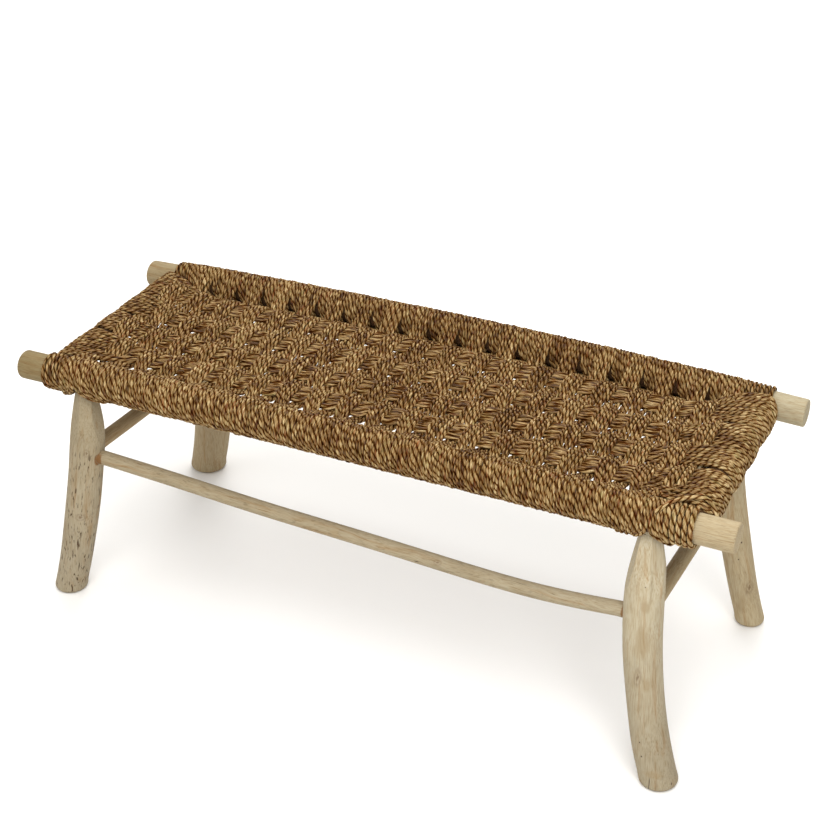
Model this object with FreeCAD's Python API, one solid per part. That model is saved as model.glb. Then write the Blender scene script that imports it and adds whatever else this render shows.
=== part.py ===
"""A low bench: debarked round branches for rails, legs and stretchers, and a woven rope seat.

All sizes are in millimetres. X runs along the bench to the right, Y from front to rear, and Z up.
The origin is on the floor, under the middle of the bench.
"""

import FreeCAD, Part
import math
import os
from collections import namedtuple

Vector = FreeCAD.Vector

# Long rails. Each is a tapering branch that rises at its middle, and both are a little askew.
front_rail_left_end = 597.0
front_rail_right_end = 601.0
front_rail_left_depth = 189.0
front_rail_right_depth = 183.0
front_rail_left_height = 413.0
front_rail_right_height = 426.0
front_rail_left_diameter = 47.5
front_rail_right_diameter = 44.0
front_rail_rise = 2.0
rear_rail_left_end = 602.0
rear_rail_right_end = 599.0
rear_rail_left_depth = 184.0
rear_rail_right_depth = 189.0
rear_rail_left_height = 420.0
rear_rail_right_height = 427.0
rear_rail_left_diameter = 47.0
rear_rail_right_diameter = 44.0
rear_rail_rise = 13.0
rail_end_rounding = 2.5

# End rails. They hold the long rails apart, with round tenons in blind bores.
left_end_rail_front_offset = 532.0
left_end_rail_rear_offset = 539.0
left_end_rail_diameter = 35.0
right_end_rail_front_offset = 532.0
right_end_rail_rear_offset = 532.0
right_end_rail_diameter = 45.0
end_rail_tenon_diameter = 24.0
end_rail_tenon_length = 18.0

# Legs. Each is whittled to a neck and a round tenon under its rail, and is cut flat at the floor.
leg_top_offset = 480.0
leg_neck_diameter = 34.0
leg_tenon_diameter = 27.0
leg_tenon_length = 32.0
whittle_length = 100.0
foot_rounding = 7.0
front_left_leg_diameter = 58.0
front_left_foot_x = 543.0
front_left_foot_y = 215.0
front_right_leg_diameter = 57.5
front_right_foot_x = 536.5
front_right_foot_y = 226.0
rear_left_leg_diameter = 70.0
rear_left_foot_x = 545.0
rear_left_foot_y = 227.0
rear_right_leg_diameter = 51.0
rear_right_foot_x = 549.0
rear_right_foot_y = 211.0

# Leg forms, each station as shares: of the height to the neck, of the whole lean, of the girth.
straight_leg_shares = (
    (0.00, 1.00, 1.00),
    (0.09, 0.86, 0.96),
    (0.20, 0.69, 0.97),
    (0.35, 0.49, 1.00),
    (0.50, 0.31, 1.01),
    (0.65, 0.16, 1.00),
    (0.76, 0.07, 1.00),
    (0.84, 0.03, 1.00),
    (0.92, 0.01, 1.00),
    (1.00, 0.00, 1.00),
)
bowed_leg_shares = (
    (0.00, 1.00, 1.06),
    (0.09, 0.79, 1.02),
    (0.20, 0.57, 1.00),
    (0.35, 0.34, 0.98),
    (0.50, 0.16, 1.00),
    (0.65, 0.05, 1.01),
    (0.76, 0.01, 1.00),
    (0.84, 0.00, 1.00),
    (0.92, 0.00, 1.00),
    (1.00, 0.00, 1.00),
)

# Drawknife flats round a neck, each as shares: of a turn, of the whittled length, of the neck's radius.
neck_flat_shares = (
    (0.00, 0.60, 0.81),
    (0.17, 0.90, 0.84),
    (0.33, 0.50, 0.82),
    (0.50, 0.80, 0.83),
    (0.66, 0.66, 0.81),
    (0.84, 0.95, 0.85),
)
flat_overrun_share = 0.2
front_left_first_flat_share = 0.09
front_right_first_flat_share = 0.98
rear_left_first_flat_share = 0.05
rear_right_first_flat_share = 0.13

# Stretchers. Each is a thin branch that runs into a bore in a leg at both ends.
mortise_depth = 16.0
stretcher_stub_length = 8.0
front_stretcher_left_height = 275.5
front_stretcher_right_height = 267.0
front_stretcher_left_diameter = 24.0
front_stretcher_right_diameter = 23.0
front_stretcher_sag = 13.0
rear_stretcher_left_height = 272.0
rear_stretcher_right_height = 294.0
rear_stretcher_left_diameter = 26.0
rear_stretcher_right_diameter = 24.0
rear_stretcher_sag = 7.0
left_stretcher_front_height = 277.0
left_stretcher_rear_height = 275.0
left_stretcher_diameter = 25.0
left_stretcher_sag = 2.0
right_stretcher_front_height = 262.0
right_stretcher_rear_height = 265.0
right_stretcher_diameter = 26.0
right_stretcher_sag = 3.0

# Stretcher forms, each station as shares: of the free length, and of the whole sag.
late_sag_shares = ((0.0, 0.0), (0.14, 0.2), (0.32, 0.6), (0.5, 0.76), (0.68, 0.97), (0.84, 1.0), (0.94, 0.5), (1.0, 0.0))
even_sag_shares = ((0.0, 0.0), (0.25, 0.7), (0.55, 1.0), (0.8, 0.6), (1.0, 0.0))

# Rope seat. Warp bands run front to rear and weft bands run along, each over one and under the next.
rope_diameter = 7.0
warp_count = 38
weft_width = 50.0
weft_place_shares = (0.57, 0.177, -0.190, -0.527)
lifted_count = 3
level_spans = 8
wrap_reach = 545.0
wrap_lap_angle = math.radians(30.0)
least_turn_angle = math.radians(4.0)

# Clearances.
wood_fit = 0.1
rope_fit = 0.15
rope_gap = 0.3
leg_hole_gap = 0.5
neck_gap = 0.7
bore_overrun = 20.0

Rail = namedtuple("Rail", "name left right left_radius right_radius rise inward")
EndRail = namedtuple("EndRail", "name side front_x rear_x radius")
Leg = namedtuple("Leg", "name side rail foot_x foot_y radius form_shares first_flat_share")
Stretcher = namedtuple("Stretcher", "name start end start_height end_height start_radius end_radius sag sag_shares")

front_rail = Rail(
    "front_rail",
    Vector(-front_rail_left_end, -front_rail_left_depth, front_rail_left_height),
    Vector(front_rail_right_end, -front_rail_right_depth, front_rail_right_height),
    front_rail_left_diameter / 2,
    front_rail_right_diameter / 2,
    front_rail_rise,
    1,
)
rear_rail = Rail(
    "rear_rail",
    Vector(-rear_rail_left_end, rear_rail_left_depth, rear_rail_left_height),
    Vector(rear_rail_right_end, rear_rail_right_depth, rear_rail_right_height),
    rear_rail_left_diameter / 2,
    rear_rail_right_diameter / 2,
    rear_rail_rise,
    -1,
)
rails = (front_rail, rear_rail)

left_end_rail = EndRail(
    "left_end",
    -1,
    -left_end_rail_front_offset,
    -left_end_rail_rear_offset,
    left_end_rail_diameter / 2,
)
right_end_rail = EndRail(
    "right_end",
    1,
    right_end_rail_front_offset,
    right_end_rail_rear_offset,
    right_end_rail_diameter / 2,
)
end_rails = (left_end_rail, right_end_rail)

leg_front_left = Leg(
    "leg_front_left",
    -1,
    front_rail,
    front_left_foot_x,
    front_left_foot_y,
    front_left_leg_diameter / 2,
    straight_leg_shares,
    front_left_first_flat_share,
)
leg_front_right = Leg(
    "leg_front_right",
    1,
    front_rail,
    front_right_foot_x,
    front_right_foot_y,
    front_right_leg_diameter / 2,
    bowed_leg_shares,
    front_right_first_flat_share,
)
leg_rear_left = Leg(
    "leg_rear_left",
    -1,
    rear_rail,
    rear_left_foot_x,
    rear_left_foot_y,
    rear_left_leg_diameter / 2,
    straight_leg_shares,
    rear_left_first_flat_share,
)
leg_rear_right = Leg(
    "leg_rear_right",
    1,
    rear_rail,
    rear_right_foot_x,
    rear_right_foot_y,
    rear_right_leg_diameter / 2,
    straight_leg_shares,
    rear_right_first_flat_share,
)
legs = (leg_front_left, leg_front_right, leg_rear_left, leg_rear_right)

stretchers = (
    Stretcher(
        "front_stretcher",
        leg_front_left,
        leg_front_right,
        front_stretcher_left_height,
        front_stretcher_right_height,
        front_stretcher_left_diameter / 2,
        front_stretcher_right_diameter / 2,
        front_stretcher_sag,
        late_sag_shares,
    ),
    Stretcher(
        "rear_stretcher",
        leg_rear_left,
        leg_rear_right,
        rear_stretcher_left_height,
        rear_stretcher_right_height,
        rear_stretcher_left_diameter / 2,
        rear_stretcher_right_diameter / 2,
        rear_stretcher_sag,
        even_sag_shares,
    ),
    Stretcher(
        "left_stretcher",
        leg_front_left,
        leg_rear_left,
        left_stretcher_front_height,
        left_stretcher_rear_height,
        left_stretcher_diameter / 2,
        left_stretcher_diameter / 2,
        left_stretcher_sag,
        even_sag_shares,
    ),
    Stretcher(
        "right_stretcher",
        leg_front_right,
        leg_rear_right,
        right_stretcher_front_height,
        right_stretcher_rear_height,
        right_stretcher_diameter / 2,
        right_stretcher_diameter / 2,
        right_stretcher_sag,
        even_sag_shares,
    ),
)

weave_level = rope_diameter + rope_gap


def write(name, shape):
    """Write one piece to its own file."""
    shape.exportStep(os.path.join("parts", name + ".step"))


def share_along(table, share, column):
    """Read a column of a table of shares at a place between two of its stations."""
    for low, high in zip(table, table[1:]):
        if share <= high[0]:
            part = (share - low[0]) / (high[0] - low[0])
            return low[column] + part * (high[column] - low[column])
    return table[-1][column]


def rod(start, end, radius):
    """A round bar from one point to another."""
    run = end - start
    return Part.makeCylinder(radius, run.Length, start, run)


def ring(centre, direction, radius):
    """A circle as a closed wire, for a loft."""
    return Part.Wire(Part.Circle(centre, direction, radius).toShape())


# Long rails


def rail_share(rail, x):
    """How far along a long rail a place lies, from its left end to its right end."""
    return (x - rail.left.x) / (rail.right.x - rail.left.x)


def rail_radius(rail, x):
    """Radius of a long rail's wood at a place along it."""
    return rail.left_radius + (rail.right_radius - rail.left_radius) * rail_share(rail, x)


def rail_point(rail, x):
    """Point on a long rail's axis, straight in plan and bowed upwards."""
    share = rail_share(rail, x)
    bow = 4 * share * (1 - share)
    return rail.left + (rail.right - rail.left) * share + Vector(0, 0, rail.rise * bow)


def rail_bar(rail, left, right, growth):
    """The long rail's round form between two places along it, grown all round."""
    places = (left, (left + right) / 2, right)
    rings = [ring(rail_point(rail, x), Vector(1, 0, 0), rail_radius(rail, x) + growth) for x in places]
    return Part.makeLoft(rings, True)


def whole_bar(rail, growth):
    """The long rail's round form from end to end, grown all round."""
    return rail_bar(rail, rail.left.x, rail.right.x, growth)


def end_rail_points(end):
    """Where an end rail's axis meets the axes of the front and rear rails."""
    return rail_point(front_rail, end.front_x), rail_point(rear_rail, end.rear_x)


def crossing_bars(end, growth):
    """Straight round bars in place of the two long rails, grown all round, where an end rail meets them."""
    bars = []
    for rail, x in ((front_rail, end.front_x), (rear_rail, end.rear_x)):
        reach = 2 * end.radius
        start = rail_point(rail, x - reach)
        stop = rail_point(rail, x + reach)
        bars.append(rod(start, stop, rail_radius(rail, x) + growth))
    return bars


def end_tenon_bar(end, growth):
    """The thin core of an end rail that runs through it into both long rails."""
    front, rear = end_rail_points(end)
    along = (rear - front).normalize()
    front_depth = rail_radius(front_rail, end.front_x) - end_rail_tenon_length - growth
    rear_depth = rail_radius(rear_rail, end.rear_x) - end_rail_tenon_length - growth
    start = front + along * front_depth
    stop = rear - along * rear_depth
    return rod(start, stop, end_rail_tenon_diameter / 2 + growth)


def long_rail(rail):
    """A long rail with rounded ends, bored for its two legs and the two end rails."""
    bar = whole_bar(rail, 0)
    rims = [edge for edge in bar.Edges if edge.BoundBox.XLength < rail_end_rounding]
    bar = bar.makeFillet(rail_end_rounding, rims)
    bores = [end_tenon_bar(end, wood_fit) for end in end_rails]
    bores += [leg_tenon(leg, wood_fit) for leg in legs if leg.rail is rail]
    return bar.cut(bores)


def end_rail(end):
    """An end rail, scribed to the long rails, with a tenon in each."""
    front, rear = end_rail_points(end)
    bar = rod(front, rear, end.radius)
    return bar.cut(crossing_bars(end, wood_fit)).fuse(end_tenon_bar(end, 0))


# Legs


def leg_rail_point(leg):
    """Point on the rail's axis over a leg."""
    return rail_point(leg.rail, leg.side * leg_top_offset)


def neck_height(leg):
    """Height of the whittled neck, just under the rail."""
    return leg_rail_point(leg).z - rail_radius(leg.rail, leg.side * leg_top_offset) - neck_gap


def leg_point(leg, z):
    """Centre of a leg at a height."""
    share = z / neck_height(leg)
    lean = share_along(leg.form_shares, share, 1)
    top = leg_rail_point(leg)
    x = top.x + (leg.side * leg.foot_x - top.x) * lean
    y = top.y + (-leg.rail.inward * leg.foot_y - top.y) * (1 - share)
    return Vector(x, y, z)


def leg_radius(leg, z):
    """Radius of a leg at a height: full below, whittled in a rounded taper up to the neck."""
    below = neck_height(leg) - z
    full = leg.radius * share_along(leg.form_shares, z / neck_height(leg), 2)
    if below >= whittle_length:
        return full
    neck = leg_neck_diameter / 2
    return neck + (full - neck) * math.sin(math.pi / 2 * below / whittle_length)


def leg_tenon(leg, growth):
    """The round tenon on top of a leg."""
    base = leg_point(leg, neck_height(leg))
    radius = leg_tenon_diameter / 2 + growth
    return Part.makeCylinder(radius, leg_tenon_length + growth, base, Vector(0, 0, 1))


def neck_shaving(leg, turn_share, length_share, neck_share):
    """The wood that one drawknife flat takes off a leg's neck."""
    angle = 2 * math.pi * (leg.first_flat_share + turn_share)
    outward = Vector(math.sin(angle), -math.cos(angle), 0)
    sideways = Vector(0, 0, 1).cross(outward) * leg.radius
    top = neck_height(leg)
    low = top - whittle_length * length_share
    high_face = leg_point(leg, top) + outward * (leg_neck_diameter / 2 * neck_share)
    low_face = leg_point(leg, low) + outward * leg_radius(leg, low)
    overrun = (low_face - high_face) * flat_overrun_share
    start = high_face - overrun - sideways
    stop = low_face + overrun - sideways
    reach = outward * leg.radius
    outline = Part.makePolygon([start, stop, stop + reach, start + reach, start])
    return Part.Face(outline).extrude(sideways * 2)


def leg_wood(leg):
    """A leg lofted through round sections, with a rounded foot, a whittled neck and mortises."""
    heights = [station[0] * neck_height(leg) for station in leg.form_shares]
    sections = [ring(leg_point(leg, z), Vector(0, 0, 1), leg_radius(leg, z)) for z in heights]
    body = Part.makeLoft(sections, True)
    foot_rim = [edge for edge in body.Edges if edge.BoundBox.ZMax < foot_rounding]
    body = body.makeFillet(foot_rounding, foot_rim)
    body = body.cut([neck_shaving(leg, *flat) for flat in neck_flat_shares])
    mortises = [stretcher_bore(item, leg) for item in stretchers if leg in (item.start, item.end)]
    return body.fuse(leg_tenon(leg, 0)).cut(mortises)


# Stretchers


def stretcher_line(item):
    """Points where a stretcher's straight line meets the two leg axes, and its direction."""
    start = leg_point(item.start, item.start_height)
    end = leg_point(item.end, item.end_height)
    return start, end, (end - start).normalize()


def stretcher_bore(item, leg):
    """The mortise that a stretcher needs in a leg."""
    start, end, along = stretcher_line(item)
    if leg is item.start:
        place, outward, height, radius = start, along, item.start_height, item.start_radius
    else:
        place, outward, height, radius = end, along * -1, item.end_height, item.end_radius
    tip = leg_radius(leg, height) - mortise_depth - wood_fit
    length = mortise_depth + bore_overrun
    return Part.makeCylinder(radius + wood_fit, length, place + outward * tip, outward)


def stretcher_wood(item):
    """A stretcher: a straight stub in each leg and a sagging branch between the stubs."""
    start, end, along = stretcher_line(item)
    start_face = leg_radius(item.start, item.start_height)
    end_face = leg_radius(item.end, item.end_height)
    stub_length = mortise_depth + stretcher_stub_length
    start_tip = start + along * (start_face - mortise_depth)
    end_tip = end - along * (end_face - mortise_depth)
    start_stub = Part.makeCylinder(item.start_radius, stub_length, start_tip, along)
    end_stub = Part.makeCylinder(item.end_radius, stub_length, end_tip, along * -1)
    first = start_tip + along * stub_length
    last = end_tip - along * stub_length
    sections = []
    for length_share, sag_share in item.sag_shares:
        centre = first + (last - first) * length_share - Vector(0, 0, item.sag * sag_share)
        radius = item.start_radius + (item.end_radius - item.start_radius) * length_share
        sections.append(ring(centre, along, radius))
    branch = Part.makeLoft(sections, True)
    return branch.fuse([start_stub, end_stub])


# Rope wraps round the rails


def end_x(end, y):
    """Place of an end rail's axis along the bench, for a place across it."""
    front, rear = end_rail_points(end)
    return front.x + (rear.x - front.x) * (y - front.y) / (rear.y - front.y)


def end_z(end, y):
    """Height of an end rail's axis, for a place across the bench."""
    front, rear = end_rail_points(end)
    return front.z + (rear.z - front.z) * (y - front.y) / (rear.y - front.y)


def level_z(x, y):
    """Height of the weave's middle between the long rails, before it climbs to an end rail."""
    front = rail_point(front_rail, x)
    rear = rail_point(rear_rail, x)
    return front.z + (rear.z - front.z) * (y - front.y) / (rear.y - front.y)


def seam(share, y):
    """A place along the bench, as a share of the way from the left end wrap to the right one."""
    gap = rope_diameter + rope_gap
    left = end_x(left_end_rail, y) + left_end_rail.radius + gap
    right = end_x(right_end_rail, y) - right_end_rail.radius - gap
    return left + (right - left) * share


def climb_x(end, y):
    """Place along the bench where the weave leaves its level stretch for an end rail."""
    lifted_share = lifted_count / warp_count
    return seam(lifted_share if end is left_end_rail else 1 - lifted_share, y)


def seat_z(x, y):
    """Height of the weave's middle, climbing past its level stretch to lie over the end rails."""
    end = left_end_rail if x < 0 else right_end_rail
    start = climb_x(end, y)
    past = (x - start) * end.side
    if past <= 0:
        return level_z(x, y)
    run = (end_x(end, y) - start) * end.side
    climb = math.asin((end.radius + rope_diameter / 2) / run)
    drop = end_z(end, y) - level_z(start, y)
    return level_z(start, y) + past * (math.tan(climb) + drop / run)


def leg_hole(leg):
    """Room that a leg needs through the rope under its rail."""
    top = leg_rail_point(leg)
    radius = rail_radius(leg.rail, top.x)
    level = neck_height(leg) - rope_diameter
    base = leg_point(leg, level) - Vector(0, 0, bore_overrun)
    height = radius + rope_diameter + bore_overrun
    return Part.makeCylinder(leg_radius(leg, level) + leg_hole_gap, height, base, Vector(0, 0, 1))


def weave_side_cutter(rail):
    """The wedge on the seat side of a long rail that its wrap leaves open for the warp bands."""
    spread = 2 * rail.left_radius + rope_diameter
    lean = spread * math.tan(wrap_lap_angle)
    outlines = []
    for x in (rail.left.x, (rail.left.x + rail.right.x) / 2, rail.right.x):
        centre = rail_point(rail, x)
        top = centre + Vector(0, rail.inward * lean, spread)
        far_top = centre + Vector(0, rail.inward * spread * 2, spread)
        far_low = centre + Vector(0, rail.inward * spread * 2, -spread)
        low = centre + Vector(0, rail.inward * lean, -spread)
        outlines.append(Part.makePolygon([centre, top, far_top, far_low, low, centre]))
    return Part.makeLoft(outlines, True)


def rail_wrap(rail):
    """The rope wound round a long rail, as one sleeve that is open where the warp bands leave it."""
    sleeve = rail_bar(rail, -wrap_reach, wrap_reach, rope_diameter)
    rims = [edge for edge in sleeve.Edges if edge.BoundBox.XLength < rope_diameter]
    sleeve = sleeve.makeFillet(rope_diameter / 2, rims)
    openings = [leg_hole(leg) for leg in legs if leg.rail is rail]
    openings += [rod(*end_rail_points(end), end.radius + rope_gap) for end in end_rails]
    openings += [whole_bar(rail, rope_fit), weave_side_cutter(rail)]
    return sleeve.cut(openings)


def end_wrap(end):
    """The rope wound round an end rail, open on top where the weft bands come over it."""
    front, rear = end_rail_points(end)
    outer = end.radius + rope_diameter
    openings = [rod(front, rear, end.radius + rope_fit)]
    openings += crossing_bars(end, rope_diameter + rope_gap)
    for place in weft_places:
        width = weft_width + 2 * rope_gap
        x = max((end_x(end, y) for y in (place - width / 2, place + width / 2)), key=abs)
        corner = Vector(min(x, x - end.side * 2 * outer), place - width / 2, end_z(end, place))
        openings.append(Part.makeBox(2 * outer, width, 2 * outer, corner))
    return rod(front, rear, outer).cut(openings)


# Woven bands


weft_places = [share * (rear_rail_left_depth + front_rail_left_depth) / 2 for share in weft_place_shares]


def turn_points(wood_radius, inner, run, rise, lap):
    """Two points, as run and rise, where a band's face lies on a round rail and where it leaves it."""
    radius = wood_radius + (rope_fit if inner else rope_diameter)
    reach = math.hypot(run, rise)
    leave = math.atan2(run, rise) - math.acos(radius / reach)
    leave = max(leave, lap + least_turn_angle)
    if inner:
        radius = radius / math.cos((leave - lap) / 2)
    return [(radius * math.sin(angle), radius * math.cos(angle)) for angle in (lap, leave)]


def warp_face(share, shift, over_rear, upper):
    """Points of a warp band's upper or lower face at one of its sides, from rear to front."""
    half = rope_diameter / 2 if upper else -rope_diameter / 2
    points = []
    for order, place in enumerate(weft_places):
        over_weft = over_rear if order % 2 == 1 else not over_rear
        level = weave_level if over_weft else -weave_level
        for edge in (1, -1):
            y = place + edge * (weft_width / 2 + rope_gap)
            x = seam(share, y) + shift
            points.append(Vector(x, y, seat_z(x, place) + level + half))
    for rail, over in ((rear_rail, over_rear), (front_rail, not over_rear)):
        near = points[0] if rail is rear_rail else points[-1]
        hand = 1 if over else -1
        centre = rail_point(rail, near.x)
        run = abs(centre.y - near.y)
        rise = hand * (near.z - centre.z)
        radius = rail_radius(rail, near.x)
        turns = turn_points(radius, upper != over, run, rise, wrap_lap_angle + rope_gap / radius)
        ends = []
        for across, up in turns:
            y = centre.y + rail.inward * across
            ends.append(Vector(seam(share, y) + shift, y, centre.z + hand * up))
        points = ends + points if rail is rear_rail else points + ends[::-1]
    return points


def weft_face(place, y, upper):
    """Points of a weft band's upper or lower face at one of its sides, from left to right."""
    half = rope_diameter / 2 if upper else -rope_diameter / 2
    left = climb_x(left_end_rail, place)
    right = climb_x(right_end_rail, place)
    points = []
    for step in range(level_spans + 1):
        x = left + (right - left) * step / level_spans
        points.append(Vector(x, y, level_z(x, place) + half))
    for end in end_rails:
        near = points[0] if end is left_end_rail else points[-1]
        centre_x = end_x(end, y)
        centre_z = end_z(end, y)
        turns = turn_points(end.radius, not upper, abs(centre_x - near.x), near.z - centre_z, 0)
        ends = [Vector(centre_x - end.side * across, y, centre_z + up) for across, up in turns]
        points = ends + points if end is left_end_rail else points + ends[::-1]
    return points


def band(faces):
    """A flat band lofted between its two sides, each given as an upper and a lower row of points."""
    outlines = []
    for upper, lower in faces:
        outlines.append(Part.makePolygon(upper + lower[::-1] + upper[:1]))
    return Part.makeLoft(outlines, True, True)


def warp_band(column):
    """One warp band, cut round a leg where it passes under a rail beside it."""
    over_rear = column % 2 == 1
    sides = []
    for share, shift in ((column / warp_count, rope_gap / 2), ((column + 1) / warp_count, -rope_gap / 2)):
        upper = warp_face(share, shift, over_rear, True)
        sides.append((upper, warp_face(share, shift, over_rear, False)))
    shape = band(sides)
    for leg in legs:
        hole = leg_hole(leg)
        if shape.BoundBox.intersect(hole.BoundBox):
            shape = shape.cut(hole)
    return shape


def weft_band(place):
    """One weft band, from the top of one end rail to the top of the other."""
    edges = (place - weft_width / 2, place + weft_width / 2)
    return band([(weft_face(place, y, True), weft_face(place, y, False)) for y in edges])


def build():
    """Make every piece and write it."""
    os.makedirs("parts", exist_ok=True)
    for rail in rails:
        write(rail.name, long_rail(rail))
        write(rail.name + "_wrap", rail_wrap(rail))
    for end in end_rails:
        write(end.name + "_rail", end_rail(end))
        write(end.name + "_wrap", end_wrap(end))
    for leg in legs:
        write(leg.name, leg_wood(leg))
    for item in stretchers:
        write(item.name, stretcher_wood(item))
    for order, place in enumerate(weft_places):
        write("weft_band_%d" % (order + 1), weft_band(place))
    for column in range(warp_count):
        write("warp_band_%02d" % (column + 1), warp_band(column))


build()
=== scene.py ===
import logging
import math
from dataclasses import dataclass
from enum import Enum
from functools import partial
from typing import Any, Callable, Sequence

import bpy
import numpy as np
from mathutils import Euler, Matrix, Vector


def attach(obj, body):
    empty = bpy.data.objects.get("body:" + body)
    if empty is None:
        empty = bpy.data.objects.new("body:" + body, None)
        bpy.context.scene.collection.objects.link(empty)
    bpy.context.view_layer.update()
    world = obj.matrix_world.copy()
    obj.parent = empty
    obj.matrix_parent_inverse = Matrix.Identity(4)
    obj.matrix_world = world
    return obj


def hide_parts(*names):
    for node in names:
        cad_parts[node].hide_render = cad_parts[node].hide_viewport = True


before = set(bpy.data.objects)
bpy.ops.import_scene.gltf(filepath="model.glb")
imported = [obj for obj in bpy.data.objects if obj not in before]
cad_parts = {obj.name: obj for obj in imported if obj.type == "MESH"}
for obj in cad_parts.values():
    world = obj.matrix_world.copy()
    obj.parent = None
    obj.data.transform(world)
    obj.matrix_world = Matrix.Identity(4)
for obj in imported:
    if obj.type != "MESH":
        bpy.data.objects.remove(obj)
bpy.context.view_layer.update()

# A low bench of debarked teak branches with a seat woven from twisted seagrass rope.
# Sizes in the classes are millimetres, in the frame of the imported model: X along the bench to the
# right, Y from front to rear, Z up. Meshes are made in metres.

MM = 0.001
Pair = tuple[float, float]
Triple = tuple[float, float, float]
Stops = tuple[tuple[float, str], ...]
Socket = bpy.types.NodeSocket
log = logging.getLogger("bench")


def linear(hex_code: str) -> tuple[float, float, float, float]:
    """Turns an sRGB hex value to the linear colour that a socket takes.

    Args:
        hex_code: the colour, as a hash and six hex digits.

    Returns:
        Red, green, blue and alpha.
    """
    shares = [int(hex_code[place:place + 2], 16) / 255 for place in (1, 3, 5)]
    made = [s / 12.92 if s <= 0.04045 else ((s + 0.055) / 1.055) ** 2.4 for s in shares]
    return (made[0], made[1], made[2], 1.0)


def add_node(
    tree: bpy.types.NodeTree,
    kind: str,
    inputs: dict[Any, Any] | None = None,
    stops: Stops = (),
    **settings: Any,
) -> bpy.types.Node:
    """Adds a shader node with its settings, values and links.

    Args:
        tree: the material's node tree.
        kind: the node's type, without its leading ShaderNode.
        inputs: socket name or number to a value, to the output that is linked to it, or to the
            node whose first output is.
        stops: place and hex colour of each stop, for a colour ramp.
        settings: properties of the node itself.

    Returns:
        The new node.
    """
    node = tree.nodes.new("ShaderNode" + kind)
    for name, value in settings.items():
        setattr(node, name, value)
    for place, value in (inputs or {}).items():
        if isinstance(value, bpy.types.Node):
            value = value.outputs[0]
        if isinstance(value, Socket):
            tree.links.new(value, node.inputs[place])
        else:
            node.inputs[place].default_value = value
    if stops:
        elements = node.color_ramp.elements
        for _ in range(len(stops) - 2):
            elements.new(0.5)
        for element, (place, hex_code) in zip(elements, stops):
            element.position = place
            element.color = linear(hex_code)
    return node


def new_material(name: str) -> bpy.types.Material:
    """Makes an empty node material.

    Args:
        name: the material's name.

    Returns:
        The material, with a cleared node tree.
    """
    material = bpy.data.materials.new(name)
    material.use_nodes = True
    material.node_tree.nodes.clear()
    return material


@dataclass(frozen=True)
class SeagrassRope:
    """Rope of dried seagrass in two plies, twisted by hand: straw to brown, with a dull natural gloss."""

    # Real fibres are a few tenths of a millimetre thick. They are drawn coarser, so that they show.
    fibre_width: float = 0.9
    fibre_length: float = 24.0
    leaf_width: float = 3.2
    leaf_length: float = 17.0
    relief: float = 0.5
    # Dried leaves from one bundle: brown, straw, and some greyed by the sun.
    leaves: Stops = (
        (0.0, "#54391b"), (0.16, "#725430"), (0.34, "#8d7249"),
        (0.56, "#a58c61"), (0.82, "#bfa97f"), (1.0, "#d2c199"),
    )
    # A few leaves dried to a rust brown, and a few to a dull green grey.
    strays: Stops = ((0.3, "#c69a7c"), (0.43, "#ffffff"), (0.57, "#ffffff"), (0.7, "#c9ccb4"))
    fibres: Stops = ((0.3, "#7a5c3a"), (0.5, "#dccdb4"), (0.68, "#ffffff"))
    # Painted shade: the last ramp darkens the grooves between the plies.
    groove_shade: Stops = ((0.3, "#ffffff"), (0.7, "#a5845f"), (1.0, "#523317"))

    def material(self) -> bpy.types.Material:
        """Builds the rope's material on the attributes that each strand carries.

        Returns:
            The finished material.
        """
        made = new_material("twisted_seagrass")
        node = partial(add_node, made.node_tree)
        space = node("Attribute", attribute_name="rope_space").outputs["Vector"]
        tint = node("Attribute", attribute_name="strand_tint").outputs["Fac"]
        crease = node("Attribute", attribute_name="crease").outputs["Fac"]
        across, along = 1 / (self.fibre_width * MM), 1 / (self.fibre_length * MM)
        grid = node("Mapping", {"Vector": space, "Scale": (along, across, across)})
        fibre = node("TexNoise", {"Vector": grid, "Scale": 1.0, "Detail": 3.0, "Roughness": 0.6})
        # Each leaf that is twisted in keeps its own colour for a couple of turns.
        across, along = 1 / (self.leaf_width * MM), 1 / (self.leaf_length * MM)
        wide = node("Mapping", {"Vector": space, "Scale": (along, across, across)})
        leaf = node("TexNoise", {"Vector": wide, "Scale": 1.0, "Detail": 2.0})
        drift = node("Math", {0: leaf, 1: 2.4, 2: -1.2}, operation="MULTIPLY_ADD")
        place = node("Math", {0: tint, 1: drift}, operation="ADD")
        # The stray leaves are drawn from another part of the same noise.
        aside = node("VectorMath", {0: wide, 1: (31.7, 4.3, 9.1)}, operation="ADD")
        kind = node("TexNoise", {"Vector": aside, "Scale": 0.8, "Detail": 1.0})
        colour = node("ValToRGB", {"Fac": place}, self.leaves).outputs["Color"]
        # The stray leaves and the fibres tint the rope; the crease ramp is painted shade in the grooves
        # between the plies.
        for value, stops in ((kind, self.strays), (fibre, self.fibres), (crease, self.groove_shade)):
            values = {0: 1.0, 6: colour, 7: node("ValToRGB", {"Fac": value}, stops)}
            colour = node("Mix", values, data_type="RGBA", blend_type="MULTIPLY").outputs[2]
        rough = node("MapRange", {"Value": fibre, "To Min": 0.8, "To Max": 0.5})
        bump = node("Bump", {"Height": fibre, "Distance": self.relief * MM})
        # Only the worn crests of the plies have a gloss; the grooves between them are dull.
        gloss = node("MapRange", {"Value": crease, "From Max": 0.4, "To Min": 0.35, "To Max": 0.0})
        values = {"Base Color": colour, "Roughness": rough, "Normal": bump, "Specular IOR Level": gloss}
        node("OutputMaterial", {"Surface": node("BsdfPrincipled", values)})
        return made


PLAIN: Stops = ((0.0, "#ffffff"), (0.45, "#ffffff"), (1.0, "#000000"))
RINGS: Stops = ((0.0, "#ffffff"), (0.16, "#d8d8d8"), (0.34, "#4a4a4a"), (0.62, "#a4a4a4"), (1.0, "#000000"))
FIRM: Stops = ((0.0, "#ffffff"), (0.6, "#ffffff"), (0.95, "#000000"))


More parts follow.
